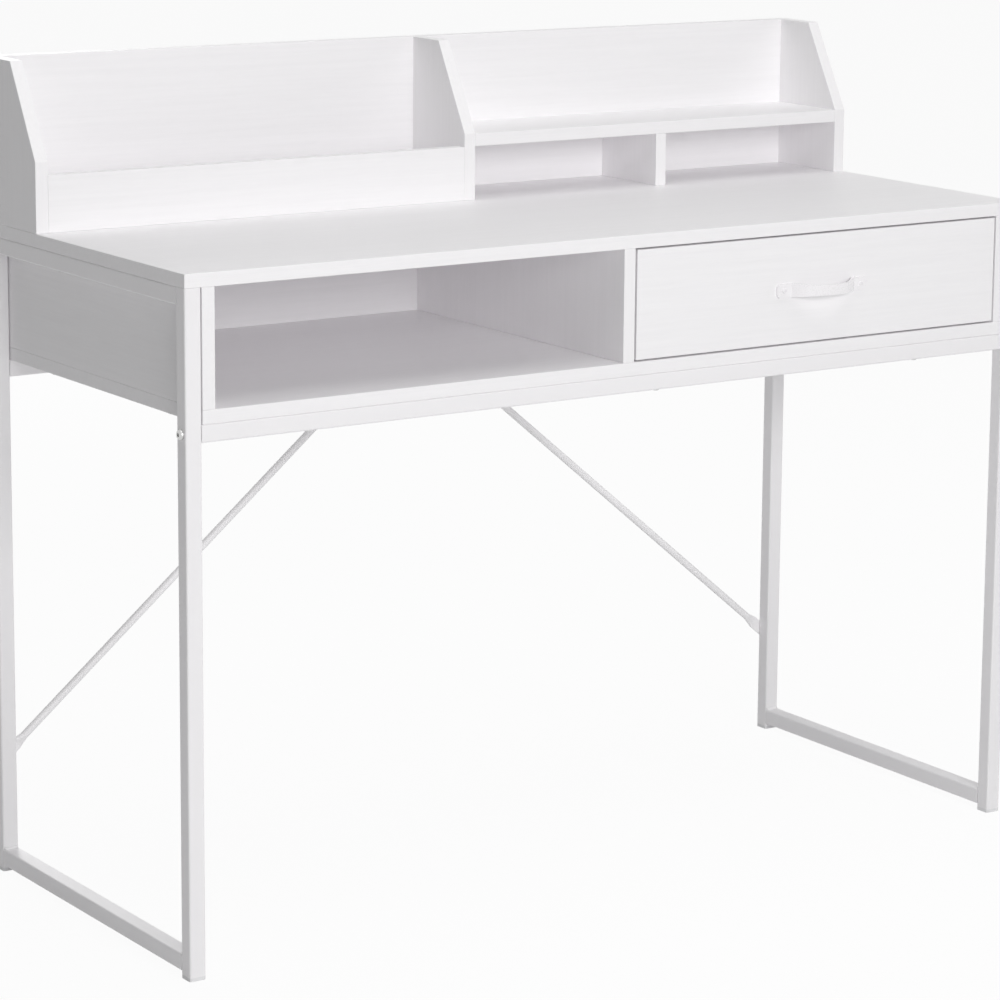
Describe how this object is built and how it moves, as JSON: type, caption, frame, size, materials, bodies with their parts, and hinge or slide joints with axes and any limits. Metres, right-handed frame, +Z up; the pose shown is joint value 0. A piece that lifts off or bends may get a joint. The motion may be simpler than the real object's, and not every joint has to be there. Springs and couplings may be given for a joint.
{
  "type": "student desk with hutch",
  "caption": "White writing desk on a square-tube frame, with an open cubby, a handled drawer on roller runners and a low hutch with a book lip, shelf and pigeonholes.",
  "frame": {"origin": "on the floor below the middle of the overall box, handle and rear bolts included", "axes": "+Z up, +X to the sitter's right, front towards -Y"},
  "size_m": [1.1272, 0.4946, 0.933],
  "materials": {
    "white_board": "satin faced board",
    "white_steel": "satin powder coat",
    "foot_plastic": "moulded",
    "plated_steel": "bright zinc",
    "beech": "raw",
    "runner_steel": "epoxy coat",
    "roller_nylon": "moulded",
    "base_panel": "lacquered fibreboard",
    "handle_white": "satin enamel"
  },
  "bodies": {
    "desk": {"worktop": "white_board", "cabinet_left_side": "white_board", "cabinet_divider": "white_board", "cabinet_right_side": "white_board", "cabinet_floor": "white_board", "cabinet_back": "white_board", "hutch_left_side": "white_board", "hutch_middle_side": "white_board", "hutch_right_side": "white_board", "hutch_back": "white_board", "hutch_shelf": "white_board", "hutch_cubby_divider": "white_board", "hutch_front_lip": "white_board", "left_front_post": "white_steel", "left_rear_post": "white_steel", "left_top_rail": "white_steel", "left_floor_rail": "white_steel", "right_front_post": "white_steel", "right_rear_post": "white_steel", "right_top_rail": "white_steel", "right_floor_rail": "white_steel", "front_rail": "white_steel", "rear_rail": "white_steel", "left_brace": "white_steel", "right_brace": "white_steel", "left_front_foot": "foot_plastic", "left_rear_foot": "foot_plastic", "right_front_foot": "foot_plastic", "right_rear_foot": "foot_plastic", "top_rail_screws": "plated_steel", "frame_bolts": "plated_steel", "rail_end_nuts": "plated_steel", "rail_screws": "plated_steel", "brace_bolts": "plated_steel", "floor_board_screws": "plated_steel", "back_panel_screws": "plated_steel", "hutch_back_screws": "plated_steel", "cabinet_runner_screws": "plated_steel", "cabinet_dowels": "beech", "hutch_dowels": "beech", "left_cabinet_runner": "runner_steel", "right_cabinet_runner": "runner_steel"},
    "drawer": {"drawer_front": "white_board", "drawer_left_side": "white_board", "drawer_right_side": "white_board", "drawer_back": "white_board", "drawer_base_panel": "base_panel", "drawer_handle": "handle_white", "drawer_dowels": "beech", "handle_screws": "handle_white", "drawer_back_screws": "plated_steel", "drawer_runner_screws": "plated_steel", "left_drawer_runner": "runner_steel", "right_drawer_runner": "runner_steel"},
    "left_cabinet_roller": {"left_cabinet_roller": "roller_nylon"},
    "right_cabinet_roller": {"right_cabinet_roller": "roller_nylon"},
    "left_drawer_roller": {"left_drawer_roller": "roller_nylon"},
    "right_drawer_roller": {"right_drawer_roller": "roller_nylon"}
  },
  "joints": [
    {"name": "drawer_slide", "type": "slide", "parent": "desk", "child": "drawer", "axis": [0, -1, 0], "range_m": [0, 0.3]},
    {"name": "left_cabinet_roller_spin", "type": "hinge", "parent": "desk", "child": "left_cabinet_roller", "pos_m": [0.0067, -0.1933, 0.625], "axis": [1, 0, 0], "range_deg": [-5, 2027.2]},
    {"name": "right_cabinet_roller_spin", "type": "hinge", "parent": "desk", "child": "right_cabinet_roller", "pos_m": [0.5198, -0.1933, 0.625], "axis": [1, 0, 0], "range_deg": [-5, 2027.2]},
    {"name": "left_drawer_roller_spin", "type": "hinge", "parent": "drawer", "child": "left_drawer_roller", "pos_m": [0.0088, 0.1787, 0.625], "axis": [1, 0, 0], "range_deg": [-5, 2027.2]},
    {"name": "right_drawer_roller_spin", "type": "hinge", "parent": "drawer", "child": "right_drawer_roller", "pos_m": [0.5177, 0.1787, 0.625], "axis": [1, 0, 0], "range_deg": [-5, 2027.2]}
  ],
  "couplings": [
    {"joint": "left_cabinet_roller_spin", "follows": "drawer_slide", "rad_per_m": 117.65},
    {"joint": "right_cabinet_roller_spin", "follows": "drawer_slide", "rad_per_m": 117.65},
    {"joint": "left_drawer_roller_spin", "follows": "drawer_slide", "rad_per_m": 117.65},
    {"joint": "right_drawer_roller_spin", "follows": "drawer_slide", "rad_per_m": 117.65}
  ]
}
